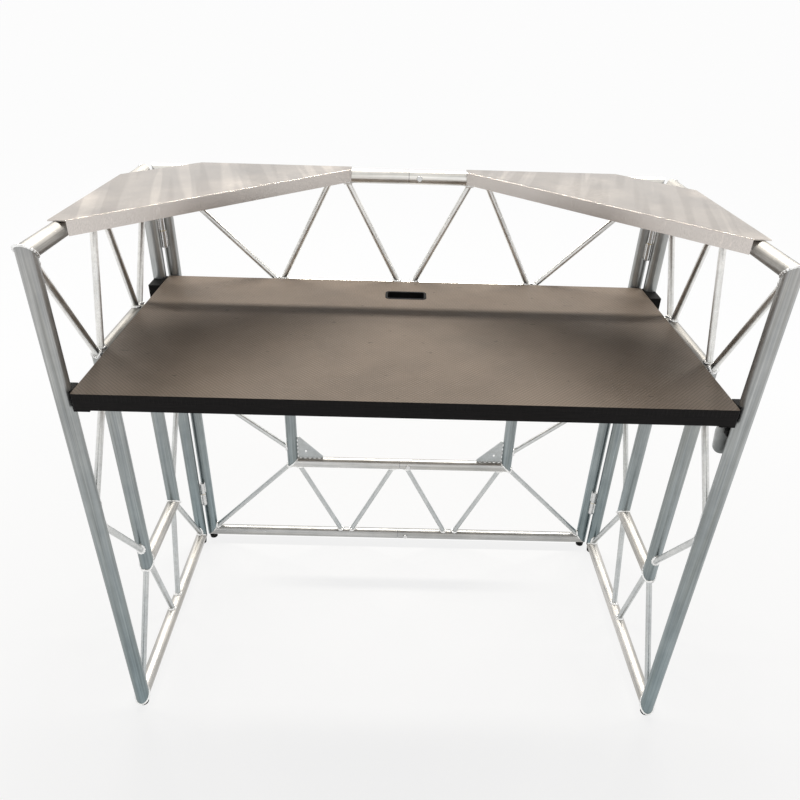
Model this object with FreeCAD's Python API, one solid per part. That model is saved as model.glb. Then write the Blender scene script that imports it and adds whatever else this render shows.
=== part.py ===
import FreeCAD, Part
import math
import os

# Folding truss booth: a front panel in two halves, two hinged wings, a drop-in table and corner shelves.
# The origin is on the floor in the middle of the booth.
# +X is the operator's right, +Y points to the audience and +Z is up.

Vector = FreeCAD.Vector
X = Vector(1, 0, 0)
Y = Vector(0, 1, 0)
Z = Vector(0, 0, 1)

# Driving dimensions in millimetres

# Tubes
tube_d = 32.0
tube_wall = 2.0
brace_d = 14.0
brace_wall = 1.5

# Frame, measured between tube centre lines
wing_spacing = 1240.0
booth_depth = 600.0
top_rail_z = 1142.0
upper_bay_height = 274.0
lower_bay_height = 274.0

# Truss of the front panel, measured along X from the middle
front_upright_x = 320.0
front_peak_x = 167.0
front_valley_x = 164.0
front_peak_gap = 14.0
front_valley_gap = 10.0
front_low_inset = 12.0
front_side_gap = 20.0
front_side_rise = 41.0

# Truss of a wing, measured along Y from the wing's middle
wing_upright_spacing = 230.0
wing_peak_gap = 17.0
wing_valley_gap = 22.0
wing_node_gap = 4.0
wing_low_inset = 9.0
wing_side_gap = 8.0
wing_side_rise = 34.0

# Feet
foot_height = 12.0
foot_top_d = 28.0
foot_base_d = 22.0

# Barrel hinges between the front panel and the wings
corner_gap = 9.0
hinge_barrel_d = 14.2
hinge_weld_gap = 0.4
hinge_pad_width = 6.0
hinge_pin_d = 8.0
hinge_clearance = 0.05
hinge_knuckle_length = 38.0
hinge_washer_thickness = 1.5
hinge_pin_cap = 3.0
upper_hinge_drop = 137.0
lower_hinge_rise = 162.0

# Spigots and snap buttons at the seam of the front panel
seam_gap = 1.2
spigot_length = 160.0
spigot_wall = 2.0
spigot_clearance = 0.15
button_d = 13.0
button_from_seam = 25.0
button_height = 3.5
button_round = 1.8
button_clearance = 0.3
button_tail = 32.0
button_tail_gap = 0.8
spring_strip = 1.2
spring_width = 10.0
spring_offset = 9.5
spring_lead = 10.0

# Corner gusset plates
gusset_leg = 74.0
gusset_thickness = 4.0
gusset_hole_d = 7.0
gusset_hole_inset = 24.0
gusset_nose = 6.0

# Table
table_rise = 20.0
board_thickness = 16.0
underlay_thickness = 18.0
table_gap = 4.0
board_corner_r = 3.0
slot_length = 88.0
slot_width = 38.0
slot_corner_r = 6.0
slot_from_front = 92.0
grommet_wall = 2.5
grommet_rim = 5.5
grommet_rim_depth = 2.5
grommet_rim_rise = 0.6
grommet_fit = 0.2

# Moulded table rests on the wing posts
rest_near_width = 10.0
rest_far_width = 44.0
rest_grip = 6.0
rest_outer = 10.0
rest_bore_clearance = 0.1
rest_end_clearance = 1.6
rest_ledge_reach = 25.0
rest_ledge_thickness = 9.0
seat_gap = 0.2

# Swinging prop under the table
prop_half_width = 24.0
prop_tip_r = 21.0
prop_length = 52.0
prop_inset = 8.0
prop_thickness = 4.0
prop_gap = 0.3
prop_rest_gap = 0.6
lug_thickness = 5.0
lug_seat = 6.0
lug_r = 9.0
bolt_d = 8.0
bolt_head_d = 14.0
bolt_head_height = 5.0
bolt_clearance = 0.05

# Corner shelves
shelf_reach = 484.0
shelf_overhang = 14.0
shelf_inner = 18.0
shelf_chamfer = 128.0
shelf_sheet = 2.0
shelf_flange = 28.0
shelf_bend_r = 1.5
shelf_seat_gap = 0.3

# Overrun of cutting shapes, and the turn of a button that faces the floor
overrun = 1.0
quarter_turn = 90.0

# Derived sizes and places

tube_r = tube_d / 2
brace_r = brace_d / 2
half_width = wing_spacing / 2
front_y = booth_depth / 2
near_y = -booth_depth / 2
bottom_rail_z = foot_height + tube_r
table_rail_z = top_rail_z - upper_bay_height
low_rail_z = bottom_rail_z + lower_bay_height
middle_z = (table_rail_z + low_rail_z) / 2

post_distance = tube_d + corner_gap
corner_setback = post_distance / math.sqrt(2)
front_post_x = half_width - corner_setback
corner_post_y = front_y - corner_setback

upper_hinge_z = top_rail_z - upper_hinge_drop
lower_hinge_z = bottom_rail_z + lower_hinge_rise
hinge_r = hinge_barrel_d / 2
post_to_axis = tube_r + hinge_r + hinge_weld_gap
axis_to_gap = math.sqrt(post_to_axis ** 2 - (post_distance / 2) ** 2)
hinge_inset = corner_setback / 2 + axis_to_gap / math.sqrt(2)
hinge_x = half_width - hinge_inset
hinge_y = front_y - hinge_inset

wing_middle_y = (near_y + corner_post_y) / 2
near_upright_y = wing_middle_y - wing_upright_spacing / 2
far_upright_y = wing_middle_y + wing_upright_spacing / 2

spigot_r = tube_r - tube_wall - spigot_clearance
button_r = button_d / 2

table_half_length = half_width - tube_r - table_gap
table_near_y = near_y - tube_r
table_far_y = front_y - tube_r - table_gap
table_top_z = table_rail_z + table_rise
table_seam_z = table_top_z - board_thickness
table_bottom_z = table_seam_z - underlay_thickness
slot_y = table_far_y - slot_from_front

rest_high_z = table_bottom_z - seat_gap
rest_low_z = rest_high_z - rest_ledge_thickness
prop_pivot_z = rest_low_z - prop_rest_gap - prop_half_width
lug_y = near_y + tube_r + lug_thickness
prop_y = lug_y + prop_gap

shelf_under_z = top_rail_z + tube_r + shelf_seat_gap
shelf_top_z = shelf_under_z + shelf_sheet


# Shapes shared by several pieces

def bar(start, end, radius):
    return Part.makeCylinder(radius, start.distanceToPoint(end), start, end - start)


def tube(start, end, diameter, wall):
    outer = bar(start, end, diameter / 2)
    return outer.cut(bar(start, end, diameter / 2 - wall))


def half_space(point, normal):
    size = tube_d + tube_d
    block = Part.makeBox(size, size, size, Vector(-tube_d, -tube_d, 0))
    block.Placement = FreeCAD.Placement(point, FreeCAD.Rotation(Z, normal))
    return block


def unit(start, end):
    direction = end - start
    return direction / direction.Length


def mitred(line, make):
    """Shape on a centre line, mitred where another tube leaves its end in the mate's direction."""
    start, end, start_mate, end_mate = line
    along = unit(start, end)
    low = start - along * tube_r if start_mate else start
    high = end + along * tube_r if end_mate else end
    shape = make(low, high)
    if start_mate:
        shape = shape.cut(half_space(start, start_mate - along))
    if end_mate:
        shape = shape.cut(half_space(end, end_mate + along))
    return shape


def main_tube(line):
    return mitred(line, lambda low, high: tube(low, high, tube_d, tube_wall))


def main_bar(line):
    """The space that a main tube takes up, with which other tubes are coped to it."""
    return mitred(line, lambda low, high: bar(low, high, tube_r))


def brace(start, end, mains):
    """Thin tube coped to every main tube that its ends run into."""
    return tube(start, end, brace_d, brace_wall).cut(mains)


def extrude_outline(points, direction):
    wire = Part.makePolygon(points + points[:1])
    return Part.Face(wire).extrude(direction)


def rounded_plate(length, width, corner_r, low_z, height, centre_y):
    plate = Part.makeBox(length, width, height, Vector(-length / 2, centre_y - width / 2, low_z))
    upright = [edge for edge in plate.Edges if edge.BoundBox.ZLength > height / 2]
    return plate.makeFillet(corner_r, upright)


def foot(x, y, tubes):
    """Rubber foot with a saddle that fits the corner above it."""
    shape = Part.makeCone(foot_base_d / 2, foot_top_d / 2, bottom_rail_z, Vector(x, y, 0))
    for tube_above in tubes:
        shape = shape.cut(tube_above)
    return shape


# Front panel

def front_point(x, z):
    return Vector(x, front_y, z)


def front_lines():
    """Centre lines of the front panel's main tubes, whole, with the mates of their mitred ends."""

    def rail(half, z, mate):
        return front_point(-half, z), front_point(half, z), mate, mate

    lines = {
        "top": rail(front_post_x, top_rail_z, -Z),
        "table": rail(front_upright_x, table_rail_z, -Z),
        "low": rail(front_upright_x, low_rail_z, Z),
        "bottom": rail(front_post_x, bottom_rail_z, Z),
    }
    for name, side in (("left", -1), ("right", 1)):
        post_x = side * front_post_x
        upright_x = side * front_upright_x
        inward = X * -side
        post = (front_point(post_x, bottom_rail_z), front_point(post_x, top_rail_z), inward, inward)
        upright = (front_point(upright_x, low_rail_z), front_point(upright_x, table_rail_z), inward, inward)
        lines[name + "_post"] = post
        lines[name + "_upright"] = upright
    return lines


def front_rail_half(line, side):
    """Half of a rail, from the seam in the middle to its outer end."""
    outer = line[1] if side > 0 else line[0]
    seam = Vector(side * seam_gap / 2, outer.y, outer.z)
    return main_tube((seam, outer, None, line[-1]))


def front_frame(lines):
    nodes = {}
    for name, side in (("left", -1), ("right", 1)):
        nodes["front_" + name + "_post"] = main_tube(lines[name + "_post"])
        for rail in ("top", "table", "low", "bottom"):
            nodes["front_" + rail + "_rail_" + name] = front_rail_half(lines[rail], side)
    uprights = [main_tube(lines[name + "_upright"]) for name in ("left", "right")]
    nodes["front_uprights"] = Part.makeCompound(uprights)
    return nodes


def front_braces(lines):
    mains = [main_bar(line) for line in lines.values()]
    upper = []
    sides = []
    lower = []
    for side in (-1, 1):
        outer = side * front_post_x
        upright = side * front_upright_x
        peak = side * front_peak_x
        valley = side * front_valley_x
        peak_gap = side * front_peak_gap
        valley_gap = side * front_valley_gap
        upper += [
            (front_point(outer, top_rail_z), front_point(upright, table_rail_z)),
            (front_point(upright, table_rail_z), front_point(peak + peak_gap, top_rail_z)),
            (front_point(peak - peak_gap, top_rail_z), front_point(peak_gap, table_rail_z)),
        ]
        for rail_z, upward in ((table_rail_z, 1), (low_rail_z, -1)):
            start = front_point(upright, rail_z - upward * front_side_rise)
            end = front_point(outer, middle_z + upward * front_side_gap)
            sides.append((start, end))
        lower += [
            (front_point(outer, bottom_rail_z), front_point(upright, low_rail_z)),
            (
                front_point(upright - side * front_low_inset, low_rail_z),
                front_point(valley + valley_gap, bottom_rail_z),
            ),
            (front_point(valley - valley_gap, bottom_rail_z), front_point(peak_gap, low_rail_z)),
        ]
    groups = {"front_upper_braces": upper, "front_side_braces": sides, "front_lower_braces": lower}
    return {name: Part.makeCompound([brace(a, b, mains) for a, b in ends]) for name, ends in groups.items()}


def front_gussets(lines):
    """Triangular plates in the inner corners of the low rail, each with a tie hole."""
    plates = []
    for name, side in (("left", -1), ("right", 1)):
        corner = front_point(side * front_upright_x, low_rail_z) - Y * (gusset_thickness / 2)
        inward = X * -side
        tip = tube_r + gusset_leg
        nose = tube_r + gusset_nose
        outline = [
            corner,
            corner + inward * tip,
            corner + inward * tip + Z * nose,
            corner + inward * nose + Z * tip,
            corner + Z * tip,
        ]
        plate = extrude_outline(outline, Y * gusset_thickness)
        hole_place = corner + (inward + Z) * (tube_r + gusset_hole_inset)
        hole = bar(hole_place, hole_place + Y * gusset_thickness, gusset_hole_d / 2)
        plates.append(plate.cut([main_bar(lines["low"]), main_bar(lines[name + "_upright"]), hole]))
    return {"front_gussets": Part.makeCompound(plates)}


def seam_places():
    """Height of each rail and its button's turn; the one under the table faces the floor."""
    return {
        "top": (top_rail_z, 0),
        "table": (table_rail_z, quarter_turn),
        "low": (low_rail_z, 0),
        "bottom": (bottom_rail_z, 0),
    }


def turned(shape, z, turn):
    shape.rotate(front_point(0, z), X, turn)
    return shape


def button_hole(z, turn):
    centre = front_point(button_from_seam, z)
    return turned(bar(centre, centre - Y * tube_d, button_r + button_clearance), z, turn)


def spigot(z, turn):
    middle = front_point(0, z)
    half = X * (spigot_length / 2)
    return tube(middle - half, middle + half, spigot_r + spigot_r, spigot_wall).cut(button_hole(z, turn))


def spring_arm(length, y, z):
    """Flat strip that starts beside the button and runs away from the seam."""
    low = Vector(button_from_seam - spring_lead, y - spring_strip / 2, z - spring_width / 2)
    return Part.makeBox(length, spring_strip, spring_width, low)


def snap_button(z, turn):
    """Domed button on the free arm of its leaf spring."""
    seat = front_point(button_from_seam, z) - Y * spring_offset
    crown_y = front_y - tube_r - button_height
    pin = bar(seat, Vector(seat.x, crown_y, z), button_r)
    crown = [edge for edge in pin.Edges if edge.BoundBox.YMax < crown_y + button_round]
    pin = pin.makeFillet(button_round, crown)
    arm = spring_arm(spring_lead + button_tail, seat.y, z)
    return turned(pin.fuse(arm).removeSplitter(), z, turn)


def snap_spring(z, turn):
    """Fixed arm and bend of a leaf spring, lying in the spigot."""
    bend_x = button_from_seam + button_tail + button_tail_gap
    centre = Vector(bend_x, front_y, z - spring_width / 2)
    outer = Part.makeCylinder(spring_offset + spring_strip / 2, spring_width, centre)
    ring = outer.cut(Part.makeCylinder(spring_offset - spring_strip / 2, spring_width, centre))
    size = spring_offset + spring_offset
    ring = ring.cut(Part.makeBox(size, size + size, spring_width, centre - X * size - Y * size))
    arm = spring_arm(spring_lead + button_tail + button_tail_gap, front_y + spring_offset, z)
    return turned(ring.fuse(arm).removeSplitter(), z, turn)


def seam_nodes(frame):
    """Spigots, springs and buttons, with the button holes cut into the right half's rails."""
    nodes = {}
    spigots = []
    springs = []
    for name, (z, turn) in seam_places().items():
        rail = "front_" + name + "_rail_right"
        frame[rail] = frame[rail].cut(button_hole(z, turn))
        spigots.append(spigot(z, turn))
        springs.append(snap_spring(z, turn))
        nodes[name + "_snap_button"] = snap_button(z, turn)
    nodes["rail_spigots"] = Part.makeCompound(spigots)
    nodes["snap_springs"] = Part.makeCompound(springs)
    return nodes


# Hinges

def knuckle(side, post, low_z):
    """Hinge barrel with a weld pad that meets its post."""
    axis = Vector(side * hinge_x, hinge_y, low_z)
    rise = Z * hinge_knuckle_length
    barrel = bar(axis, axis + rise, hinge_r)
    centre = Vector(post.x, post.y, low_z)
    toward = unit(axis, centre)
    across = Vector(-toward.y, toward.x, 0) * (hinge_pad_width / 2)
    pad = extrude_outline([axis - across, axis + across, centre + across, centre - across], rise)
    post_bar = bar(centre, centre + rise, tube_r)
    bore = bar(axis - rise, axis + rise + rise, hinge_pin_d / 2 + hinge_clearance)
    return barrel.fuse(pad).cut([post_bar, bore])


def hinge_levels(centre_z):
    """Base heights of the lower knuckle, the washer and the upper knuckle."""
    washer_z = centre_z - hinge_washer_thickness / 2
    return washer_z - hinge_knuckle_length, washer_z, washer_z + hinge_washer_thickness


def hinge_pin(side, centre_z):
    low, washer, high = hinge_levels(centre_z)
    axis = Vector(side * hinge_x, hinge_y, 0)
    shank = bar(axis + Z * (low - hinge_pin_cap), axis + Z * (high + hinge_knuckle_length), hinge_pin_d / 2)
    cap = bar(axis + Z * (low - hinge_pin_cap), axis + Z * (low - hinge_clearance), hinge_r)
    return shank.fuse(cap).removeSplitter()


def hinge_washer(side, centre_z):
    axis = Vector(side * hinge_x, hinge_y, hinge_levels(centre_z)[1])
    ring = Part.makeCylinder(hinge_r, hinge_washer_thickness - hinge_clearance, axis)
    return ring.cut(bar(axis - Z * overrun, axis + Z * tube_r, hinge_pin_d / 2 + hinge_clearance))


def hinge_nodes():
    """The wing hangs from the upper hinge's upper knuckle and is trapped by the lower hinge's lower one."""
    front = []
    pins = []
    washers = []
    nodes = {}
    for name, side in (("left", -1), ("right", 1)):
        front_post = Vector(side * front_post_x, front_y, 0)
        wing_post = Vector(side * half_width, corner_post_y, 0)
        upper_low, upper_washer, upper_high = hinge_levels(upper_hinge_z)
        lower_low, lower_washer, lower_high = hinge_levels(lower_hinge_z)
        front += [knuckle(side, front_post, upper_low), knuckle(side, front_post, lower_high)]
        wing = [knuckle(side, wing_post, upper_high), knuckle(side, wing_post, lower_low)]
        nodes[name + "_wing_hinge_knuckles"] = Part.makeCompound(wing)
        for centre_z in (upper_hinge_z, lower_hinge_z):
            pins.append(hinge_pin(side, centre_z))
            washers.append(hinge_washer(side, centre_z))
    nodes["front_hinge_knuckles"] = Part.makeCompound(front)
    nodes["hinge_pins"] = Part.makeCompound(pins)
    nodes["hinge_washers"] = Part.makeCompound(washers)
    return nodes


# Wings

def wing_lines(side):
    """Centre lines of a wing's main tubes with the mates of their mitred ends."""
    x = side * half_width

    def rail(low_y, high_y, z, mate):
        return Vector(x, low_y, z), Vector(x, high_y, z), mate, mate

    def stile(y, low_z, high_z, low_mate, high_mate):
        return Vector(x, y, low_z), Vector(x, y, high_z), low_mate, high_mate

    return {
        "near_post": stile(near_y, bottom_rail_z, top_rail_z, Y, Y),
        "corner_post": stile(corner_post_y, bottom_rail_z, top_rail_z, -Y, -Y),
        "top_rail": rail(near_y, corner_post_y, top_rail_z, -Z),
        "table_rail": rail(near_upright_y, far_upright_y, table_rail_z, -Z),
        "bottom_rail": rail(near_y, corner_post_y, bottom_rail_z, Z),
        "low_rail": rail(near_upright_y, far_upright_y, low_rail_z, Z),
        "near_upright": stile(near_upright_y, low_rail_z, table_rail_z, Y, Y),
        "far_upright": stile(far_upright_y, low_rail_z, table_rail_z, -Y, -Y),
    }


def wing_frame(name, side):
    lines = wing_lines(side)
    prefix = name + "_wing_"
    tubes = {key: main_tube(line) for key, line in lines.items()}
    uprights = [tubes.pop(key) for key in ("near_upright", "far_upright")]
    tubes["uprights"] = Part.makeCompound(uprights)
    return {prefix + key: shape for key, shape in tubes.items()}


def wing_braces(name, side):
    """Zigzag above the table and braces below it, alike on both sides of the wing's middle."""
    mains = [main_bar(line) for line in wing_lines(side).values()]
    x = side * half_width
    upper = []
    lower = []
    for post_y, upright_y, outward in ((near_y, near_upright_y, -1), (corner_post_y, far_upright_y, 1)):
        node_gap = outward * wing_node_gap
        peak_y = wing_middle_y + outward * wing_peak_gap
        valley_y = wing_middle_y + outward * wing_valley_gap
        low_y = upright_y - outward * wing_low_inset
        upper += [
            (Vector(x, post_y, top_rail_z), Vector(x, upright_y + node_gap, table_rail_z)),
            (Vector(x, upright_y - node_gap, table_rail_z), Vector(x, peak_y, top_rail_z)),
        ]
        for rail_z, upward in ((table_rail_z, 1), (low_rail_z, -1)):
            start = Vector(x, upright_y, rail_z - upward * wing_side_rise)
            end = Vector(x, post_y, middle_z + upward * wing_side_gap)
            lower.append((start, end))
        lower += [
            (Vector(x, post_y, bottom_rail_z), Vector(x, upright_y, low_rail_z)),
            (Vector(x, low_y, low_rail_z), Vector(x, valley_y, bottom_rail_z)),
        ]
    return {
        name + "_wing_upper_braces": Part.makeCompound([brace(a, b, mains) for a, b in upper]),
        name + "_wing_lower_braces": Part.makeCompound([brace(a, b, mains) for a, b in lower]),
    }


def feet_nodes():
    front_rail = main_bar(front_lines()["bottom"])
    posts = [main_bar(front_lines()[name + "_post"]) for name in ("left", "right")]
    front = [foot(side * front_post_x, front_y, posts + [front_rail]) for side in (-1, 1)]
    nodes = {"front_feet": Part.makeCompound(front)}
    for name, side in (("left", -1), ("right", 1)):
        x = side * half_width
        rail = main_bar(wing_lines(side)["bottom_rail"])
        posts = [main_bar(wing_lines(side)[key]) for key in ("near_post", "corner_post")]
        pair = [foot(x, y, posts + [rail]) for y in (near_y, corner_post_y)]
        nodes[name + "_wing_feet"] = Part.makeCompound(pair)
    return nodes


def table_rest(side, post_y, toward, reach):
    """Moulded clip in the angle of a post, towards the wing's middle, with a ledge for the table."""
    wall_u = tube_r + table_gap - rest_end_clearance
    ledge_u = wall_u + rest_ledge_reach
    profile = [
        (-rest_outer, rest_low_z),
        (ledge_u, rest_low_z),
        (ledge_u, rest_high_z),
        (wall_u, rest_high_z),
        (wall_u, table_top_z),
        (-rest_outer, table_top_z),
    ]
    start_y = post_y - toward * rest_grip
    outline = [Vector(side * (half_width - u), start_y, z) for u, z in profile]
    body = extrude_outline(outline, Y * (toward * (rest_grip + tube_r + reach)))
    foot_of_bore = Vector(side * half_width, post_y, rest_low_z - overrun)
    head_of_bore = Vector(side * half_width, post_y, table_top_z + overrun)
    return body.cut(bar(foot_of_bore, head_of_bore, tube_r + rest_bore_clearance))


def table_rests(side):
    near_rest = table_rest(side, near_y, 1, rest_near_width)
    far_rest = table_rest(side, corner_post_y, -1, rest_far_width)
    return Part.makeCompound([near_rest, far_rest])


def prop_place():
    return Vector(half_width - prop_inset, prop_y, prop_pivot_z)


def prop_tab():
    """Tapered tongue with round ends that hangs from its bolt."""
    pivot = prop_place()
    reach = prop_length - prop_tip_r
    tip = pivot - Z * reach
    deep = Y * prop_thickness
    lean = (prop_half_width - prop_tip_r) / reach
    first = X * math.sqrt(1 - lean * lean) - Z * lean
    second = -X * math.sqrt(1 - lean * lean) - Z * lean
    outline = [
        pivot + first * prop_half_width,
        tip + first * prop_tip_r,
        tip + second * prop_tip_r,
        pivot + second * prop_half_width,
    ]
    ends = [bar(pivot, pivot + deep, prop_half_width), bar(tip, tip + deep, prop_tip_r)]
    hole = bar(pivot - deep, pivot + deep + deep, bolt_d / 2 + bolt_clearance)
    return extrude_outline(outline, deep).fuse(ends).removeSplitter().cut(hole)


def prop_lug():
    """Round boss welded to the far side of the near post, which carries the prop's bolt."""
    pivot = prop_place()
    face = Vector(pivot.x, lug_y, pivot.z)
    deep = Y * (lug_thickness + lug_seat)
    post = bar(Vector(half_width, near_y, low_rail_z), Vector(half_width, near_y, top_rail_z), tube_r)
    hole = bar(face - deep - deep, face + deep, bolt_d / 2 + bolt_clearance)
    return bar(face - deep, face, lug_r).cut([post, hole])


def prop_bolt():
    """Shoulder bolt whose domed head holds the prop against its boss."""
    pivot = prop_place()
    shank_start = Vector(pivot.x, near_y + tube_r + bolt_clearance, pivot.z)
    head_start = pivot + Y * (prop_thickness + prop_gap)
    head_end = head_start + Y * bolt_head_height
    head = bar(head_start, head_end, bolt_head_d / 2)
    far_edge = [edge for edge in head.Edges if edge.BoundBox.YMin > head_end.y - prop_gap]
    head = head.makeFillet(bolt_head_height / 2, far_edge)
    return head.fuse(bar(shank_start, head_start, bolt_d / 2)).removeSplitter()


def prop_nodes():
    """The prop is on the right wing alone."""
    return {"right_prop_lug": prop_lug(), "right_prop_tab": prop_tab(), "right_prop_bolt": prop_bolt()}


# Table

def table_layer(low_z, thickness):
    length = table_half_length + table_half_length
    depth = table_far_y - table_near_y
    middle_y = (table_far_y + table_near_y) / 2
    board = rounded_plate(length, depth, board_corner_r, low_z, thickness, middle_y)
    return board.cut(slot_block(grommet_wall + grommet_fit, low_z - overrun, table_top_z + overrun))


def slot_block(margin, low_z, high_z):
    """Block with the cable slot's outline, larger by a margin all round."""
    length = slot_length + margin + margin
    width = slot_width + margin + margin
    return rounded_plate(length, width, slot_corner_r + margin, low_z, high_z - low_z, slot_y)


def cable_grommet():
    """Moulded liner of the cable slot, with a rim let into the table top."""
    rim_low_z = table_top_z - grommet_rim_depth
    rim_high_z = table_top_z + grommet_rim_rise
    sleeve = slot_block(grommet_wall, table_bottom_z, rim_low_z)
    rim = slot_block(grommet_rim, rim_low_z, rim_high_z)
    bore = slot_block(0, table_bottom_z - overrun, rim_high_z + overrun)
    return sleeve.fuse(rim).cut(bore).removeSplitter()


def table_nodes():
    recess = slot_block(grommet_rim + grommet_fit, table_top_z - grommet_rim_depth, table_top_z + overrun)
    return {
        "table_board": table_layer(table_seam_z, board_thickness).cut(recess),
        "table_underlay": table_layer(table_bottom_z, underlay_thickness),
        "cable_grommet": cable_grommet(),
    }


# Shelves

def corner_shelf(side):
    """Folded sheet on two rails, with a flange down its long edge and the outer corner cut off."""

    def place(u, v, z):
        return Vector(side * (half_width - u), front_y - v, z)

    outline = [
        (-shelf_overhang, shelf_chamfer),
        (-shelf_overhang, shelf_reach),
        (shelf_inner, shelf_reach),
        (shelf_reach, shelf_inner),
        (shelf_reach, -shelf_overhang),
        (shelf_chamfer, -shelf_overhang),
    ]
    sheet = extrude_outline([place(u, v, shelf_under_z) for u, v in outline], Z * shelf_sheet)
    sheet_step = shelf_sheet * math.sqrt(2)
    flange_outline = [
        (shelf_inner, shelf_reach),
        (shelf_reach, shelf_inner),
        (shelf_reach - sheet_step, shelf_inner),
        (shelf_inner, shelf_reach - sheet_step),
    ]
    low_z = shelf_top_z - shelf_flange
    flange = extrude_outline([place(u, v, low_z) for u, v in flange_outline], Z * (shelf_under_z - low_z))
    body = sheet.fuse(flange).removeSplitter()
    long_edges = [
        edge
        for edge in body.Edges
        if edge.BoundBox.ZMin > shelf_under_z + shelf_sheet / 2
        and abs(edge.BoundBox.XLength - (shelf_reach - shelf_inner)) < overrun
    ]
    return body.makeFillet(shelf_bend_r, long_edges)


def build():
    lines = front_lines()
    nodes = front_frame(lines)
    nodes.update(seam_nodes(nodes))
    nodes.update(front_braces(lines))
    nodes.update(front_gussets(lines))
    nodes.update(hinge_nodes())
    nodes.update(feet_nodes())
    for name, side in (("left", -1), ("right", 1)):
        nodes.update(wing_frame(name, side))
        nodes.update(wing_braces(name, side))
        nodes[name + "_table_rests"] = table_rests(side)
        nodes[name + "_shelf"] = corner_shelf(side)
    nodes.update(prop_nodes())
    nodes.update(table_nodes())
    return nodes


os.makedirs("parts", exist_ok=True)
for node, shape in build().items():
    shape.exportStep("parts/" + node + ".step")
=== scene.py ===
import math

import bpy
from mathutils import Matrix, Vector


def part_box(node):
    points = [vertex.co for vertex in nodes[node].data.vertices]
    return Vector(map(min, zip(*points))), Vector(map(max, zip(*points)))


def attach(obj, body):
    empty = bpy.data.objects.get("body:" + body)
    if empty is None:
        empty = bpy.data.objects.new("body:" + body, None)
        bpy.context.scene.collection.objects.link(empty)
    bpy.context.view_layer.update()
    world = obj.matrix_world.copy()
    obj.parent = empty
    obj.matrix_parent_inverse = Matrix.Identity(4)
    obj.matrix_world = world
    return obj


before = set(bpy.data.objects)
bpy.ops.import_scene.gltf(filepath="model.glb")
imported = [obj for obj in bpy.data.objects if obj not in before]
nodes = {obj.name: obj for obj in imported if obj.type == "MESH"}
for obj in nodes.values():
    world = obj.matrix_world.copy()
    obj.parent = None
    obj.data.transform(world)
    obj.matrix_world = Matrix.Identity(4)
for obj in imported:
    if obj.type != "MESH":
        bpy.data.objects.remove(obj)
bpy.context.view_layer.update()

# Sizes and places, in metres

SIDES = {"left": -1, "right": 1}
X = Vector((1, 0, 0))
Y = Vector((0, 1, 0))
Z = Vector((0, 0, 1))


def middle(node):
    low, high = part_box(node)
    return (low + high) / 2


post_low, post_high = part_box("front_right_post")
tube_r = (post_high.x - post_low.x) / 2
front_post_x = middle("front_right_post").x
front_y = middle("front_right_post").y
top_rail_z = middle("front_top_rail_left").z
table_rail_z = middle("front_table_rail_left").z
low_rail_z = middle("front_low_rail_left").z
bottom_rail_z = middle("front_bottom_rail_left").z
middle_z = (table_rail_z + low_rail_z) / 2
front_upright_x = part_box("front_uprights")[1].x - tube_r
wing_x = middle("right_wing_near_post").x
near_y = middle("right_wing_near_post").y
corner_post_y = middle("right_wing_corner_post").y
wing_middle_y = (near_y + corner_post_y) / 2
wing_upright_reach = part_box("right_wing_uprights")[1].y - tube_r - wing_middle_y
brace_r = (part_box("right_wing_upper_braces")[1].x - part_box("right_wing_upper_braces")[0].x) / 2
table_top_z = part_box("table_board")[1].z
gusset_low, gusset_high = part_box("front_gussets")
gusset_half = (gusset_high.y - gusset_low.y) / 2
gusset_leg = gusset_high.z - low_rail_z - tube_r
washer_low, washer_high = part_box("hinge_washers")
hinge_r = (washer_high.y - washer_low.y) / 2
hinge_x = washer_high.x - hinge_r
hinge_y = washer_high.y - hinge_r
front_knuckle_low, front_knuckle_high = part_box("front_hinge_knuckles")
wing_knuckle_low, wing_knuckle_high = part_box("right_wing_hinge_knuckles")
knuckle_length = washer_low.z - wing_knuckle_low.z

# Ends of the braces, measured along the rails as in the truss's drawing
front_peak_x = 0.167
front_valley_x = 0.164
front_peak_gap = 0.014
front_valley_gap = 0.010
front_low_inset = 0.012
front_side_gap = 0.020
front_side_rise = 0.041
wing_peak_gap = 0.017
wing_valley_gap = 0.022
wing_node_gap = 0.004
wing_low_inset = 0.009
wing_side_gap = 0.008
wing_side_rise = 0.034

# Slant of the painted reflection bands on the shelves, outward to the back, in radians
reflection_band_turn = -0.28

# Pitch and depths of the marks in the surfaces
mesh_pitch = 0.0058
mesh_depth = 0.0007
drawing_depth = 0.0005
weld_lump_depth = 0.0006
brushing_depth = 0.0003
speck_depth = 0.0002
pore_depth = 0.0003
turning_depth = 0.0002

# Weld beads
bead_r = 0.0036
mitre_bead_r = 0.0024
small_bead_r = 0.0022
bead_sides = 7
bead_pitch = 0.0046
bead_steps_per_ripple = 4
bead_ripple_share = 0.16
bead_lift_share = 0.2
bead_end_share = 0.35
least_ripples = 12
tack_length = 0.009
tack_pitch = 0.014
hinge_pad_half = 0.003
flush_share = 0.45


# Materials

def new_material(name):
    material = bpy.data.materials.new(name)
    material.use_nodes = True
    tree = material.node_tree
    shader = tree.nodes["Principled BSDF"]
    return material, tree, shader


def object_coordinates(tree, scale):
    """Object coordinates stretched by a scale for each axis."""
    source = tree.nodes.new("ShaderNodeTexCoord")
    mapping = tree.nodes.new("ShaderNodeMapping")
    mapping.inputs["Scale"].default_value = scale
    tree.links.new(source.outputs["Object"], mapping.inputs["Vector"])
    return mapping.outputs["Vector"]


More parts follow.
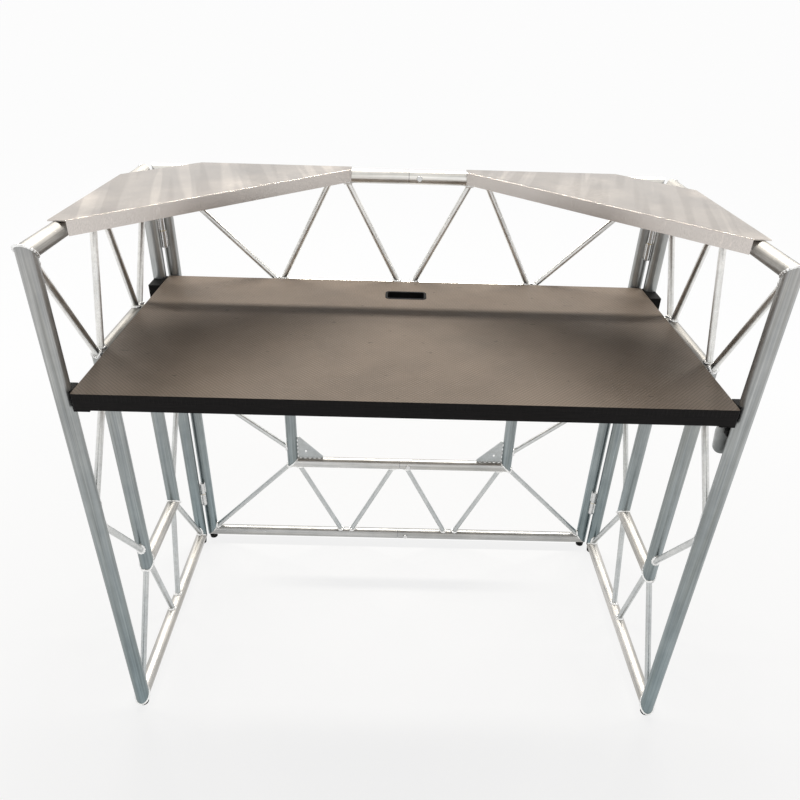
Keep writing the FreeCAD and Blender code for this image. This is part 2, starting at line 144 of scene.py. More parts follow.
def turned_coordinates(tree, scale, turn):
    """Object coordinates turned about the upright axis, then stretched by a scale for each axis."""
    source = tree.nodes.new("ShaderNodeTexCoord")
    mapping = tree.nodes.new("ShaderNodeMapping")
    mapping.vector_type = "TEXTURE"
    mapping.inputs["Rotation"].default_value = (0, 0, turn)
    mapping.inputs["Scale"].default_value = [1 / per_metre for per_metre in scale]
    tree.links.new(source.outputs["Object"], mapping.inputs["Vector"])
    return mapping.outputs["Vector"]


def noise(tree, vector, scale, detail=3.0, roughness=0.5):
    node = tree.nodes.new("ShaderNodeTexNoise")
    node.inputs["Scale"].default_value = scale
    node.inputs["Detail"].default_value = detail
    node.inputs["Roughness"].default_value = roughness
    tree.links.new(vector, node.inputs["Vector"])
    return node.outputs["Fac"]


def ramp(tree, factor, low, high, start=0.0, end=1.0):
    """Colour that runs from low to high as the factor goes from start to end."""
    node = tree.nodes.new("ShaderNodeValToRGB")
    node.color_ramp.elements[0].position = start
    node.color_ramp.elements[1].position = end
    node.color_ramp.elements[0].color = (*low, 1)
    node.color_ramp.elements[1].color = (*high, 1)
    tree.links.new(factor, node.inputs["Fac"])
    return node.outputs["Color"]


def spread(tree, factor, low, high, start=0.0, end=1.0):
    """Number that runs from low to high as the factor goes from start to end."""
    node = tree.nodes.new("ShaderNodeMapRange")
    node.inputs["From Min"].default_value = start
    node.inputs["From Max"].default_value = end
    node.inputs["To Min"].default_value = low
    node.inputs["To Max"].default_value = high
    tree.links.new(factor, node.inputs["Value"])
    return node.outputs["Result"]


def mix_colors(tree, factor, first, second, blend="MIX"):
    node = tree.nodes.new("ShaderNodeMix")
    node.data_type = "RGBA"
    node.blend_type = blend
    if isinstance(factor, float):
        node.inputs[0].default_value = factor
    else:
        tree.links.new(factor, node.inputs[0])
    for socket, value in ((node.inputs[6], first), (node.inputs[7], second)):
        if isinstance(value, tuple):
            socket.default_value = (*value, 1)
        else:
            tree.links.new(value, socket)
    return node.outputs[2]


def math_node(tree, operation, first, second):
    node = tree.nodes.new("ShaderNodeMath")
    node.operation = operation
    for socket, value in zip(node.inputs, (first, second)):
        if isinstance(value, (int, float)):
            socket.default_value = value
        else:
            tree.links.new(value, socket)
    return node.outputs["Value"]


def bump(tree, shader, height, strength, distance):
    node = tree.nodes.new("ShaderNodeBump")
    node.inputs["Strength"].default_value = strength
    node.inputs["Distance"].default_value = distance
    tree.links.new(height, node.inputs["Height"])
    tree.links.new(node.outputs["Normal"], shader.inputs["Normal"])


def stretched(across, along_scale, along):
    """Noise scale for each axis, drawn out along one of them, or even where none is named."""
    return [along_scale if axis == along else across for axis in "xyz"]


def drawn_aluminium(name, along, upper, lower, roughness):
    """Satin tube with drawing lines, stains and smudges, and a painted light tone that runs from one near
    the floor up to an upper one, for how light and reflection fall at each height.
    """
    material, tree, shader = new_material(name)
    streak_scale = stretched(420, 5, along)
    stain_scale = stretched(95, 2.2, along)
    streaks = noise(tree, object_coordinates(tree, streak_scale), 1.0, 3.0)
    stains = noise(tree, object_coordinates(tree, stain_scale), 1.0, 4.0, 0.6)
    smudges = noise(tree, object_coordinates(tree, (1, 1, 1)), 14.0, 4.0, 0.6)
    # Painted light: the tone runs with height, standing in for the lighter or darker light and the cooler
    # floor reflection at each height.
    height = spread(tree, height_above_floor(tree), 0.0, 1.0, bottom_rail_z, top_rail_z)
    painted_light_tone = ramp(tree, height, lower, upper)
    shade = ramp(tree, smudges, (0.82, 0.83, 0.84), (1.0, 1.0, 1.0), 0.32, 0.62)
    color = mix_colors(tree, 1.0, painted_light_tone, shade, "MULTIPLY")
    dark_line = (0.74, 0.75, 0.76) if along else (0.90, 0.91, 0.92)
    lines = ramp(tree, streaks, dark_line, (1.08, 1.08, 1.07), 0.3, 0.7)
    color = mix_colors(tree, 1.0, color, lines, "MULTIPLY")
    run = ramp(tree, stains, (0.80, 0.79, 0.77), (1.05, 1.05, 1.06), 0.36, 0.62)
    color = mix_colors(tree, 1.0 if along else 0.4, color, run, "MULTIPLY")
    tree.links.new(color, shader.inputs["Base Color"])
    shader.inputs["Metallic"].default_value = 1.0
    rough = math_node(tree, "ADD", spread(tree, smudges, -0.05, 0.06, 0.3, 0.7), roughness)
    rough = math_node(tree, "ADD", rough, spread(tree, streaks, -0.05, 0.05))
    tree.links.new(rough, shader.inputs["Roughness"])
    bump(tree, shader, streaks, 0.1 if along else 0.05, drawing_depth)
    return material


def height_above_floor(tree):
    source = tree.nodes.new("ShaderNodeTexCoord")
    split = tree.nodes.new("ShaderNodeSeparateXYZ")
    tree.links.new(source.outputs["Object"], split.inputs["Vector"])
    return split.outputs["Z"]


def weld_metal():
    """Bright, slightly lumpy weld metal with darker soot in places."""
    material, tree, shader = new_material("weld_metal")
    place = object_coordinates(tree, (1, 1, 1))
    lumps = noise(tree, place, 700.0, 3.0)
    soot = noise(tree, place, 90.0, 3.0)
    color = ramp(tree, soot, (0.66, 0.65, 0.64), (0.96, 0.96, 0.95), 0.3, 0.5)
    tree.links.new(color, shader.inputs["Base Color"])
    shader.inputs["Metallic"].default_value = 1.0
    tree.links.new(spread(tree, lumps, 0.2, 0.42), shader.inputs["Roughness"])
    bump(tree, shader, lumps, 0.25, weld_lump_depth)
    return material


def upward_share(tree):
    """One on faces that look up or down, zero on upright faces."""
    geometry = tree.nodes.new("ShaderNodeNewGeometry")
    split = tree.nodes.new("ShaderNodeSeparateXYZ")
    tree.links.new(geometry.outputs["True Normal"], split.inputs["Vector"])
    size = math_node(tree, "ABSOLUTE", split.outputs["Z"], 0.0)
    return spread(tree, size, 0.0, 1.0, 0.4, 0.9)


def brushed_sheet(name, turn):
    """Shelf sheet: warm grey, brushed along its length, with fine scratches, slanting bands and gleams of
    painted reflection, and a lighter painted tone on its upright faces for how they catch the light.
    """
    material, tree, shader = new_material(name)
    brushing = noise(tree, object_coordinates(tree, (30, 900, 300)), 1.0, 3.0)
    clouds = noise(tree, object_coordinates(tree, (1, 1, 1)), 7.0, 4.0, 0.55)
    # Painted reflection: slanting dark bands and bright gleams stand in for the room mirrored in the
    # sheet.
    painted_reflections = noise(tree, turned_coordinates(tree, (30, 1.2, 4), turn), 1.0, 1.0)
    scratches = noise(tree, object_coordinates(tree, (320, 24, 60)), 1.0, 2.0)
    flat = ramp(tree, clouds, (0.435, 0.392, 0.352), (0.525, 0.474, 0.426), 0.3, 0.7)
    painted_dark_bands = ramp(tree, painted_reflections, (0.85, 0.845, 0.84), (1.0, 1.0, 1.0), 0.40, 0.47)
    flat = mix_colors(tree, 1.0, flat, painted_dark_bands, "MULTIPLY")
    painted_gleams = ramp(tree, painted_reflections, (1.0, 1.0, 1.0), (1.26, 1.26, 1.25), 0.58, 0.65)
    flat = mix_colors(tree, 1.0, flat, painted_gleams, "MULTIPLY")
    # Painted light: upright faces get a lighter tone of their own for the light they catch.
    upright = ramp(tree, clouds, (0.62, 0.575, 0.54), (0.70, 0.65, 0.61), 0.3, 0.7)
    color = mix_colors(tree, upward_share(tree), upright, flat)
    fine = ramp(tree, brushing, (0.86, 0.86, 0.86), (1.03, 1.03, 1.03), 0.3, 0.7)
    color = mix_colors(tree, 1.0, color, fine, "MULTIPLY")
    marks = ramp(tree, scratches, (1.0, 1.0, 1.0), (1.14, 1.13, 1.12), 0.66, 0.72)
    color = mix_colors(tree, 1.0, color, marks, "MULTIPLY")
    tree.links.new(color, shader.inputs["Base Color"])
    shader.inputs["Metallic"].default_value = 1.0
    rough = spread(tree, clouds, 0.17, 0.28, 0.3, 0.7)
    rough = math_node(tree, "ADD", rough, spread(tree, brushing, -0.05, 0.05))
    tree.links.new(rough, shader.inputs["Roughness"])
    bump(tree, shader, brushing, 0.06, brushing_depth)
    return material


def pressed_mesh(tree):
    """Height of a diagonal wire mesh pressed into a film."""
    wave_scale = math.pi / (10 * mesh_pitch)
    waves = []
    for turn in (math.radians(45), math.radians(-45)):
        source = tree.nodes.new("ShaderNodeTexCoord")
        mapping = tree.nodes.new("ShaderNodeMapping")
        mapping.inputs["Rotation"].default_value = (0, 0, turn)
        tree.links.new(source.outputs["Object"], mapping.inputs["Vector"])
        wave = tree.nodes.new("ShaderNodeTexWave")
        wave.bands_direction = "X"
        wave.inputs["Scale"].default_value = wave_scale
        tree.links.new(mapping.outputs["Vector"], wave.inputs["Vector"])
        waves.append(wave.outputs["Fac"])
    return spread(tree, math_node(tree, "MAXIMUM", waves[0], waves[1]), 0.0, 1.0, 0.72, 0.97)


def filmed_board(name, meshed):
    """Brown-black resin film with dust, nicks and scratches on the faces, and black paint on the edges."""
    material, tree, shader = new_material(name)
    place = object_coordinates(tree, (1, 1, 1))
    dust = noise(tree, place, 4.0, 6.0, 0.6)
    specks = noise(tree, place, 380.0, 2.0)
    nicks = noise(tree, object_coordinates(tree, (34, 90, 34)), 1.0, 2.0)
    grain = noise(tree, object_coordinates(tree, (30, 900, 900)), 1.0, 2.0)
    face = ramp(tree, dust, (0.254, 0.205, 0.163), (0.326, 0.264, 0.213), 0.32, 0.7)
    marks = ramp(tree, nicks, (0.0, 0.0, 0.0), (0.7, 0.7, 0.7), 0.71, 0.75)
    face = mix_colors(tree, marks, face, (0.120, 0.096, 0.078))
    rubs = noise(tree, place, 9.0, 6.0, 0.65)
    worn = ramp(tree, rubs, (0.93, 0.93, 0.93), (1.02, 1.02, 1.02), 0.38, 0.56)
    face = mix_colors(tree, 1.0, face, worn, "MULTIPLY")
    for scratch_scale in ((5, 300, 5), (260, 7, 7)):
        scratches = noise(tree, object_coordinates(tree, scratch_scale), 1.0, 2.0)
        lines = ramp(tree, scratches, (0.0, 0.0, 0.0), (0.4, 0.4, 0.4), 0.72, 0.76)
        face = mix_colors(tree, lines, face, (0.38, 0.33, 0.28))
    flecks = ramp(tree, specks, (0.0, 0.0, 0.0), (0.5, 0.5, 0.5), 0.69, 0.74)
    face = mix_colors(tree, flecks, face, (0.42, 0.37, 0.32))
    rough = spread(tree, dust, 0.42, 0.56, 0.32, 0.7)
    if meshed:
        wires = pressed_mesh(tree)
        shade = ramp(tree, wires, (1.0, 1.0, 1.0), (0.68, 0.68, 0.68))
        face = mix_colors(tree, 1.0, face, shade, "MULTIPLY")
        bump(tree, shader, wires, 0.35, mesh_depth)
    else:
        bump(tree, shader, specks, 0.1, speck_depth)
    paint = ramp(tree, grain, (0.006, 0.0055, 0.0055), (0.014, 0.012, 0.012), 0.3, 0.7)
    tree.links.new(mix_colors(tree, upward_share(tree), paint, face), shader.inputs["Base Color"])
    tree.links.new(rough, shader.inputs["Roughness"])
    shader.inputs["Specular IOR Level"].default_value = 0.12
    return material


def dark_moulding(name, low, high, roughness, grain):
    """Moulded plastic or rubber with a fine grain and slight fading."""
    material, tree, shader = new_material(name)
    place = object_coordinates(tree, (1, 1, 1))
    fading = noise(tree, place, 40.0, 3.0)
    pores = noise(tree, place, grain, 2.0)
    tree.links.new(ramp(tree, fading, low, high, 0.3, 0.7), shader.inputs["Base Color"])
    tree.links.new(spread(tree, pores, roughness - 0.08, roughness + 0.08), shader.inputs["Roughness"])
    shader.inputs["Specular IOR Level"].default_value = 0.08
    bump(tree, shader, pores, 0.15, pore_depth)
    return material


def plated_steel(name, low, high, roughness):
    """Bright plated steel with faint clouding and turning marks."""
    material, tree, shader = new_material(name)
    clouds = noise(tree, object_coordinates(tree, (1, 1, 1)), 120.0, 3.0)
    rings = noise(tree, object_coordinates(tree, (60, 60, 3000)), 1.0, 1.0)
    tree.links.new(ramp(tree, clouds, low, high, 0.3, 0.7), shader.inputs["Base Color"])
    shader.inputs["Metallic"].default_value = 1.0
    tree.links.new(spread(tree, clouds, roughness - 0.06, roughness + 0.08), shader.inputs["Roughness"])
    bump(tree, shader, rings, 0.05, turning_depth)
    return material


def give(material, *names):
    for name in names:
        slots = nodes[name].data.materials
        slots.clear()
        slots.append(material)


def dress_frame():
    """Materials of the CAD nodes."""
    # Painted light: these tube tones are lit and shaded copies of one aluminium, one set per tube
    # direction, so each run of tube looks as lit as it should.
    along_x = drawn_aluminium("tube_along_x", "x", (1.0, 0.975, 0.93), (0.56, 0.555, 0.54), 0.38)
    along_y = drawn_aluminium("tube_along_y", "y", (0.44, 0.425, 0.40), (0.68, 0.66, 0.63), 0.45)
    along_z = drawn_aluminium("tube_along_z", "z", (0.50, 0.495, 0.48), (0.275, 0.335, 0.35), 0.36)
    brace = drawn_aluminium("brace_tube", None, (0.92, 0.90, 0.865), (0.56, 0.58, 0.58), 0.34)
    plate = drawn_aluminium("plate", None, (0.58, 0.58, 0.57), (0.50, 0.525, 0.525), 0.4)
    bright = plated_steel("plated_steel", (0.62, 0.62, 0.62), (0.74, 0.74, 0.73), 0.24)
    pin = plated_steel("ground_pin", (0.42, 0.42, 0.43), (0.55, 0.55, 0.55), 0.3)
    brass = plated_steel("washer_brass", (0.55, 0.42, 0.19), (0.68, 0.54, 0.27), 0.3)
    blued = plated_steel("blued_strip", (0.16, 0.17, 0.20), (0.26, 0.27, 0.30), 0.35)
    moulded = dark_moulding("moulded_black", (0.004, 0.004, 0.004), (0.009, 0.0085, 0.008), 0.5, 600.0)
    rubber = dark_moulding("foot_rubber", (0.015, 0.015, 0.015), (0.035, 0.034, 0.033), 0.7, 900.0)
    black_bolt = dark_moulding("black_bolt", (0.012, 0.012, 0.013), (0.03, 0.03, 0.031), 0.34, 500.0)

    for rail in ("top", "table", "low", "bottom"):
        for half in SIDES:
            give(along_x, f"front_{rail}_rail_{half}")
        give(bright, rail + "_snap_button")
    give(along_z, "front_left_post", "front_right_post", "front_uprights")
    give(brace, "front_upper_braces", "front_side_braces", "front_lower_braces")
    give(plate, "front_gussets")
    give(blued, "rail_spigots")
    give(bright, "front_hinge_knuckles")
    give(pin, "hinge_pins", "snap_springs")
    give(brass, "hinge_washers")
    give(rubber, "front_feet")
    for side in SIDES:
        wing = side + "_wing_"
        for rail in ("top_rail", "table_rail", "low_rail", "bottom_rail"):
            give(along_y, wing + rail)
        give(along_z, wing + "near_post", wing + "corner_post", wing + "uprights")
        give(brace, wing + "upper_braces", wing + "lower_braces")
        give(bright, wing + "hinge_knuckles")
        give(rubber, wing + "feet")
        give(moulded, side + "_table_rests")
        give(brushed_sheet(side + "_sheet", reflection_band_turn * SIDES[side]), side + "_shelf")
    give(plate, "right_prop_tab")
    give(black_bolt, "right_prop_lug", "right_prop_bolt")
    give(filmed_board("board_film_top", True), "table_board")
    give(filmed_board("board_film", False), "table_underlay")
    give(moulded, "cable_grommet")


# Weld beads

def perpendiculars(direction):
    helper = X if abs(direction.x) < abs(direction.z) else Z
    first = direction.cross(helper).normalized()
    return first, direction.cross(first)


def surface_distance(start, direction, chord):
    """Distance along a line to the far wall of a chord tube, or nothing where it passes beside it."""
    point, axis = chord
    offset = start - point
    offset -= axis * offset.dot(axis)
    across = direction - axis * direction.dot(axis)
    a = across.length_squared
    b = offset.dot(across)
    c = offset.length_squared - tube_r ** 2
    inside = b * b - a * c
    if inside < 0:
        return None
    return (math.sqrt(inside) - b) / a


def inner_angle(*chords):
    """Joint on one chord, or in the inner angle of two."""
    return max, chords


def outer_corner(*chords):
    """Joint on the outer corner of two mitred chords."""
    return min, chords


def coped_loop(foot, far, radius, joint):
    """Points and outward directions along the seam between a coped tube and the chords at its foot."""
    pick, chords = joint
    direction = (far - foot).normalized()
    first, second = perpendiculars(direction)
    count = max(least_ripples, round(2 * math.pi * radius / bead_pitch)) * bead_steps_per_ripple
    loop = []
    for step in range(count):
        angle = 2 * math.pi * step / count
        outward = first * math.cos(angle) + second * math.sin(angle)
        start = foot + outward * radius
        reaches = [(surface_distance(start, direction, chord), chord) for chord in chords]
        reaches = [(reach, chord) for reach, chord in reaches if reach is not None]
        if not reaches:
            continue
        reach, chord = pick(reaches, key=lambda pair: pair[0])
        point = start + direction * reach
        chord_out = point - chord[0]
        chord_out -= chord[1] * chord_out.dot(chord[1])
        loop.append((point, (outward + chord_out.normalized()).normalized()))
    return loop


def mitre_loop(corner, first, second):
    """Points and outward directions along the seam of two mitred tubes that leave a corner."""
    long_axis = (first + second).normalized()
    side_axis = first.cross(second).normalized()
    long_r = tube_r * math.sqrt(2)
    count = round(2 * math.pi * tube_r / bead_pitch) * bead_steps_per_ripple
    loop = []
    for step in range(count):
        angle = 2 * math.pi * step / count
        outward = long_axis * math.cos(angle) + side_axis * math.sin(angle)
        point = corner + long_axis * (long_r * math.cos(angle)) + side_axis * (tube_r * math.sin(angle))
        loop.append((point, outward))
    return loop


def clear_arc(loop, post, toward):
    """Part of a corner's seam that looks away from the neighbouring post; the rest is ground flush."""
    facing = [(point - post).to_2d().normalized().dot(toward) for point, outward in loop]
    kept = [share < flush_share for share in facing]
    start = next(k for k in range(len(loop)) if kept[k] and not kept[k - 1])
    return [loop[k - len(loop)] for k in range(start, start + len(loop)) if kept[k - len(loop)]]


def straight_seam(start, end, outward):
    count = max(2, round((end - start).length / bead_pitch)) * bead_steps_per_ripple
    return [(start.lerp(end, step / count), outward) for step in range(count + 1)]


def tack_seams(start, end, outward):
    """Short beads set at equal steps along a line."""
    along = (end - start).normalized()
    count = int((end - start).length / tack_pitch)
    places = [start + along * (tack_pitch * (k + 0.5)) for k in range(count)]
    half = along * (tack_length / 2)
    return [(straight_seam(place - half, place + half, outward), small_bead_r, False) for place in places]


def gusset_seams(side):
    """Tack welds along both legs of a gusset, on both of its faces."""
    surface = math.sqrt(tube_r ** 2 - gusset_half ** 2)
    seams = []
    for face in (-1, 1):
        y = front_y + face * gusset_half
        corner = Vector((side * front_upright_x, y, low_rail_z))
        inward = X * -side
        facing = Y * face
        rail_start = corner + inward * tube_r + Z * surface
        post_start = corner + inward * surface + Z * tube_r
        seams += tack_seams(rail_start, rail_start + inward * gusset_leg, (facing + Z).normalized())
        seams += tack_seams(post_start, post_start + Z * gusset_leg, (facing + inward).normalized())
    return seams


def knuckle_seam(side, post_x, post_y, low_z):
    """Bead beside a hinge knuckle's pad, on the side that looks into the booth."""
    inside = Vector((-side, -1, 0)).normalized()
    post = Vector((post_x, post_y, low_z))
    toward = (Vector((side * hinge_x, hinge_y, low_z)) - post).normalized()
    lean = math.asin(hinge_pad_half / tube_r)
    turns = [Matrix.Rotation(angle, 3, "Z") @ toward for angle in (lean, -lean)]
    outward = max(turns, key=lambda turn: turn.dot(inside))
    start = post + outward * tube_r
    return straight_seam(start, start + Z * knuckle_length, inside), small_bead_r, False


def add_bead(vertices, faces, loop, radius, closed):
    """Rippled round bead along a seam; an open one has slimmer, closed ends."""
    base = len(vertices)
    count = len(loop)
    last = count - 1
    for step, (point, outward) in enumerate(loop):
        ahead = loop[(step + 1) % count if closed else min(step + 1, last)][0]
        behind = loop[step - 1 if closed else max(step - 1, 0)][0]
        along = (ahead - behind).normalized()
        side = along.cross(outward).normalized()
        up = side.cross(along).normalized()
        phase = 2 * math.pi * step / bead_steps_per_ripple
        size = radius * (1 + bead_ripple_share * math.cos(phase))
        if not closed and step in (0, last):
            size = radius * bead_end_share
        centre = point + up * (radius * bead_lift_share)
        for k in range(bead_sides):
            angle = 2 * math.pi * k / bead_sides
            vertices.append(centre + side * (size * math.cos(angle)) + up * (size * math.sin(angle)))
    for step in range(count if closed else last):
        following = (step + 1) % count
        for k in range(bead_sides):
            neighbour = (k + 1) % bead_sides
            faces.append((
                base + step * bead_sides + k,
                base + step * bead_sides + neighbour,
                base + following * bead_sides + neighbour,
                base + following * bead_sides + k,
            ))
    if not closed:
        faces.append(tuple(base + k for k in reversed(range(bead_sides))))
        faces.append(tuple(base + last * bead_sides + k for k in range(bead_sides)))


def weld_object(name, body, seams, material):
    vertices = []
    faces = []
    for loop, radius, closed in seams:
        add_bead(vertices, faces, loop, radius, closed)
    mesh = bpy.data.meshes.new(name)
    mesh.from_pydata(vertices, [], faces)
    mesh.polygons.foreach_set("use_smooth", [True] * len(mesh.polygons))
    mesh.materials.append(material)
    piece = bpy.data.objects.new(name, mesh)
    bpy.context.scene.collection.objects.link(piece)
    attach(piece, body)


def front_point(x, z):
    return Vector((x, front_y, z))


def front_seams():
    """Seams of the front panel: each has its points, its bead's radius and whether it closes on itself."""
    seams = []
    rails = {z: (front_point(0, z), X) for z in (top_rail_z, table_rail_z, low_rail_z, bottom_rail_z)}
    for side in SIDES.values():
        post_x = side * front_post_x
        upright_x = side * front_upright_x
        peak = side * front_peak_x
        valley = side * front_valley_x
        post = (front_point(post_x, 0), Z)
        upright = (front_point(upright_x, 0), Z)
        inward = X * -side
        for z, leave in ((top_rail_z, -Z), (bottom_rail_z, Z)):
            corner = front_point(post_x, z)
            loop = mitre_loop(corner, inward, leave)
            toward_wing = Vector((side, -1)).normalized()
            seams.append((clear_arc(loop, corner, toward_wing), mitre_bead_r, False))
        for low_z in (front_knuckle_low.z, front_knuckle_high.z - knuckle_length):
            seams.append(knuckle_seam(side, post_x, front_y, low_z))
        seams += gusset_seams(side)
        upright_top = front_point(upright_x, table_rail_z)
        upright_foot = front_point(upright_x, low_rail_z)
        seams.append((mitre_loop(upright_top, inward, -Z), mitre_bead_r, True))
        seams.append((mitre_loop(upright_foot, inward, Z), mitre_bead_r, True))
        ends = [
            (
                front_point(post_x, top_rail_z),
                upright_top,
                inner_angle(post, rails[top_rail_z]),
                outer_corner(upright, rails[table_rail_z]),
            ),
            (
                upright_top,
                front_point(peak + side * front_peak_gap, top_rail_z),
                inner_angle(rails[table_rail_z]),
                inner_angle(rails[top_rail_z]),
            ),
            (
                front_point(peak - side * front_peak_gap, top_rail_z),
                front_point(side * front_peak_gap, table_rail_z),
                inner_angle(rails[top_rail_z]),
                inner_angle(rails[table_rail_z]),
            ),
            (
                front_point(post_x, bottom_rail_z),
                upright_foot,
                inner_angle(post, rails[bottom_rail_z]),
                outer_corner(upright, rails[low_rail_z]),
            ),
            (
                front_point(upright_x - side * front_low_inset, low_rail_z),
                front_point(valley + side * front_valley_gap, bottom_rail_z),
                inner_angle(rails[low_rail_z]),
                inner_angle(rails[bottom_rail_z]),
            ),
            (
                front_point(valley - side * front_valley_gap, bottom_rail_z),
                front_point(side * front_peak_gap, low_rail_z),
                inner_angle(rails[bottom_rail_z]),
                inner_angle(rails[low_rail_z]),
            ),
        ]
        for rail_z, upward in ((table_rail_z, 1), (low_rail_z, -1)):
            start = front_point(upright_x, rail_z - upward * front_side_rise)
            end = front_point(post_x, middle_z + upward * front_side_gap)
            ends.append((start, end, inner_angle(upright), inner_angle(post)))
        seams += brace_seams(ends)
    return seams


def brace_seams(ends):
    """Seams round both ends of each brace."""
    seams = []
    for start, end, start_joint, end_joint in ends:
        seams.append((coped_loop(start, end, brace_r, start_joint), bead_r, True))
        seams.append((coped_loop(end, start, brace_r, end_joint), bead_r, True))
    return seams


def wing_seams(side):
    """Seams of one wing, in the form that the front panel's have."""
    x = side * wing_x
    seams = []
    ends = []
    rails = {z: (Vector((x, 0, z)), Y) for z in (top_rail_z, table_rail_z, low_rail_z, bottom_rail_z)}
    for post_y, outward in ((near_y, -1), (corner_post_y, 1)):
        upright_y = wing_middle_y + outward * wing_upright_reach
        post = (Vector((x, post_y, 0)), Z)
        upright = (Vector((x, upright_y, 0)), Z)
        inward = Y * -outward
        for z, leave in ((top_rail_z, -Z), (bottom_rail_z, Z)):
            corner = Vector((x, post_y, z))
            loop = mitre_loop(corner, inward, leave)
            if post_y == corner_post_y:
                toward_front = Vector((-side, 1)).normalized()
                seams.append((clear_arc(loop, corner, toward_front), mitre_bead_r, False))
            else:
                seams.append((loop, mitre_bead_r, True))
        upright_top = Vector((x, upright_y, table_rail_z))
        upright_foot = Vector((x, upright_y, low_rail_z))
        seams.append((mitre_loop(upright_top, inward, -Z), mitre_bead_r, True))
        seams.append((mitre_loop(upright_foot, inward, Z), mitre_bead_r, True))
        node_gap = Y * (outward * wing_node_gap)
        low_inset = Y * (outward * wing_low_inset)
        peak_y = wing_middle_y + outward * wing_peak_gap
        valley_y = wing_middle_y + outward * wing_valley_gap
        ends += [
            (
                Vector((x, post_y, top_rail_z)),
                upright_top + node_gap,
                inner_angle(post, rails[top_rail_z]),
                outer_corner(upright, rails[table_rail_z]),
            ),
            (
                upright_top - node_gap,
                Vector((x, peak_y, top_rail_z)),
                inner_angle(rails[table_rail_z]),
                inner_angle(rails[top_rail_z]),
            ),
            (
                Vector((x, post_y, bottom_rail_z)),
                upright_foot,
                inner_angle(post, rails[bottom_rail_z]),
                outer_corner(upright, rails[low_rail_z]),
            ),
            (
                upright_foot - low_inset,
                Vector((x, valley_y, bottom_rail_z)),
                inner_angle(rails[low_rail_z]),
                inner_angle(rails[bottom_rail_z]),
            ),
        ]
        for rail_z, upward in ((table_rail_z, 1), (low_rail_z, -1)):
            start = Vector((x, upright_y, rail_z - upward * wing_side_rise))
            end = Vector((x, post_y, middle_z + upward * wing_side_gap))
            ends.append((start, end, inner_angle(upright), inner_angle(post)))
    for low_z in (wing_knuckle_low.z, wing_knuckle_high.z - knuckle_length):
        seams.append(knuckle_seam(side, x, corner_post_y, low_z))
    return seams + brace_seams(ends)


def add_welds():
    material = weld_metal()
    weld_object("front_welds", "frame", front_seams(), material)
    for name, side in SIDES.items():
        weld_object(name + "_wing_welds", name + "_wing", wing_seams(side), material)


# Stage: floor, backdrop, light and camera

def seen_or_mirrored(tree):
    """One for what the camera sees, directly or in metal, and zero for light that falls on the booth."""
    path = tree.nodes.new("ShaderNodeLightPath")
    seen = math_node(tree, "MAXIMUM", path.outputs["Is Camera Ray"], path.outputs["Is Glossy Ray"])
    return math_node(tree, "MAXIMUM", seen, path.outputs["Is Transmission Ray"])


def white_stage():
    """White paper: the camera and mirrors see it nearly white, and it still takes shadows."""
    material, tree, shader = new_material("stage_paper")
    shader.inputs["Base Color"].default_value = (0.8, 0.8, 0.8, 1)
    shader.inputs["Roughness"].default_value = 0.9
    glow = tree.nodes.new("ShaderNodeEmission")
    glow.inputs["Color"].default_value = (1, 1, 1, 1)
    mix = tree.nodes.new("ShaderNodeMixShader")
    source = tree.nodes.new("ShaderNodeTexCoord")
    distance = tree.nodes.new("ShaderNodeVectorMath")
    distance.operation = "LENGTH"
    tree.links.new(source.outputs["Object"], distance.inputs[0])
    near_share = 0.84
    far_share = 0.97
    near_r = 0.9
    far_r = 2.2
    share = spread(tree, distance.outputs["Value"], near_share, far_share, near_r, far_r)
    tree.links.new(math_node(tree, "MULTIPLY", seen_or_mirrored(tree), share), mix.inputs["Fac"])
    tree.links.new(shader.outputs["BSDF"], mix.inputs[1])
    tree.links.new(glow.outputs["Emission"], mix.inputs[2])
    output = tree.nodes["Material Output"]
    tree.links.new(mix.outputs["Shader"], output.inputs["Surface"])
    material.cycles.emission_sampling = "NONE"
    return material


def add_stage():
    """Round floor that turns up into a wall all round the booth."""
    radius = 8.0
    bend = 1.6
    height = 6.5
    hub_r = 0.4
    bend_steps = 10
    around = 64
    profile = [(hub_r, 0.0)]
    for step in range(bend_steps + 1):
        angle = math.pi / 2 * step / bend_steps
        profile.append((radius - bend + bend * math.sin(angle), bend - bend * math.cos(angle)))
    profile.append((radius, height))
    turns = [2 * math.pi * k / around for k in range(around)]
    vertices = [(r * math.cos(turn), r * math.sin(turn), z) for r, z in profile for turn in turns]
    faces = [tuple(range(around))]
    for ring in range(len(profile) - 1):
        for k in range(around):
            following = (k + 1) % around
            low = ring * around
            high = low + around
            faces.append((low + k, high + k, high + following, low + following))
    mesh = bpy.data.meshes.new("stage_bowl")
    mesh.from_pydata(vertices, [], faces)
    mesh.polygons.foreach_set("use_smooth", [True] * len(mesh.polygons))
    mesh.materials.append(white_stage())
    bowl = bpy.data.objects.new("stage_bowl", mesh)
    bpy.context.scene.collection.objects.link(bowl)


def add_area(name, place, target, size, power, color):
    lamp = bpy.data.lights.new(name, "AREA")
    lamp.shape = "RECTANGLE"
    lamp.size, lamp.size_y = size
    lamp.energy = power
    lamp.color = color
    piece = bpy.data.objects.new(name, lamp)
    piece.location = place
    piece.rotation_euler = (target - place).to_track_quat("-Z", "Y").to_euler()
    bpy.context.scene.collection.objects.link(piece)


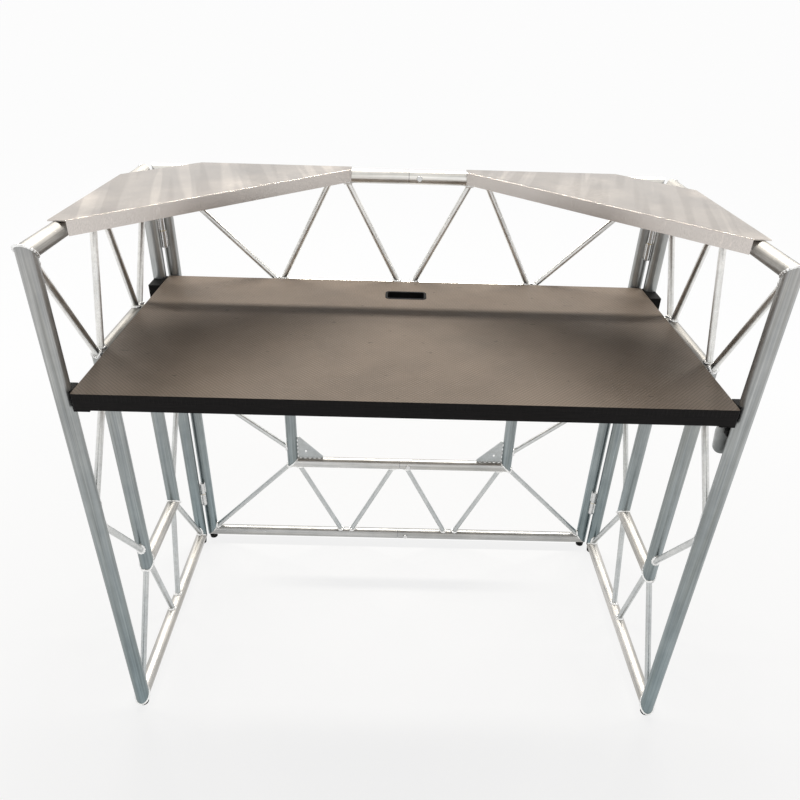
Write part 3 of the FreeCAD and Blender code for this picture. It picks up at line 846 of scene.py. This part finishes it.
def add_light():
    """Dim fill from the world, a ceiling strip that casts the rail's shadow, and a weak softbox."""
    world = bpy.data.worlds.new("studio")
    bpy.context.scene.world = world
    world.use_nodes = True
    tree = world.node_tree
    background = tree.nodes["Background"]
    source = tree.nodes.new("ShaderNodeTexCoord")
    split = tree.nodes.new("ShaderNodeSeparateXYZ")
    tree.links.new(source.outputs["Generated"], split.inputs["Vector"])
    rise = spread(tree, split.outputs["Z"], 0.0, 1.0, -0.2, 1.0)
    fill = ramp(tree, rise, (0.050, 0.051, 0.053), (0.081, 0.079, 0.075))
    shown = ramp(tree, rise, (0.62, 0.63, 0.64), (0.80, 0.79, 0.76))
    tree.links.new(mix_colors(tree, seen_or_mirrored(tree), fill, shown), background.inputs["Color"])
    background.inputs["Strength"].default_value = 1.0
    shadow_depth = 0.215
    strip_distance = 3.4
    strip_size = (5.0, 0.2)
    strip_power = 196
    strip_color = (1.0, 0.96, 0.90)
    rail = Vector((0, front_y, top_rail_z))
    toward_strip = Vector((0, shadow_depth, top_rail_z - table_top_z)).normalized()
    strip_place = rail + toward_strip * strip_distance
    add_area("ceiling_strip", strip_place, rail, strip_size, strip_power, strip_color)
    softbox_place = Vector((0.0, -3.4, 2.6))
    softbox_target = Vector((0.0, 0.2, 0.7))
    softbox_size = (4.5, 2.0)
    softbox_power = 8
    softbox_color = (0.97, 0.99, 1.0)
    add_area("front_softbox", softbox_place, softbox_target, softbox_size, softbox_power, softbox_color)


def add_camera():
    """Camera as fitted to the photograph: 800 pixels wide and high, turned, tilted down and rolled."""
    place = Vector((-0.0248, -1.3522, 1.5097))
    heading = 0.012
    tilt = 0.537
    roll = 0.031
    focal_pixels = 676.7
    image_pixels = 800
    right = Vector((math.cos(heading), -math.sin(heading), 0))
    ahead = Vector((
        math.cos(tilt) * math.sin(heading),
        math.cos(tilt) * math.cos(heading),
        -math.sin(tilt),
    ))
    up = right.cross(ahead)
    rolled_right = right * math.cos(roll) + up * math.sin(roll)
    rolled_up = up * math.cos(roll) - right * math.sin(roll)
    data = bpy.data.cameras.new("camera")
    data.sensor_width = 36.0
    data.lens = data.sensor_width * focal_pixels / image_pixels
    camera = bpy.data.objects.new("camera", data)
    turn = Matrix((rolled_right, rolled_up, -ahead)).transposed()
    camera.matrix_world = Matrix.Translation(place) @ turn.to_4x4()
    bpy.context.scene.collection.objects.link(camera)
    bpy.context.scene.camera = camera


dress_frame()
add_welds()
add_stage()
add_light()
add_camera()
bpy.context.scene.view_settings.view_transform = "Standard"
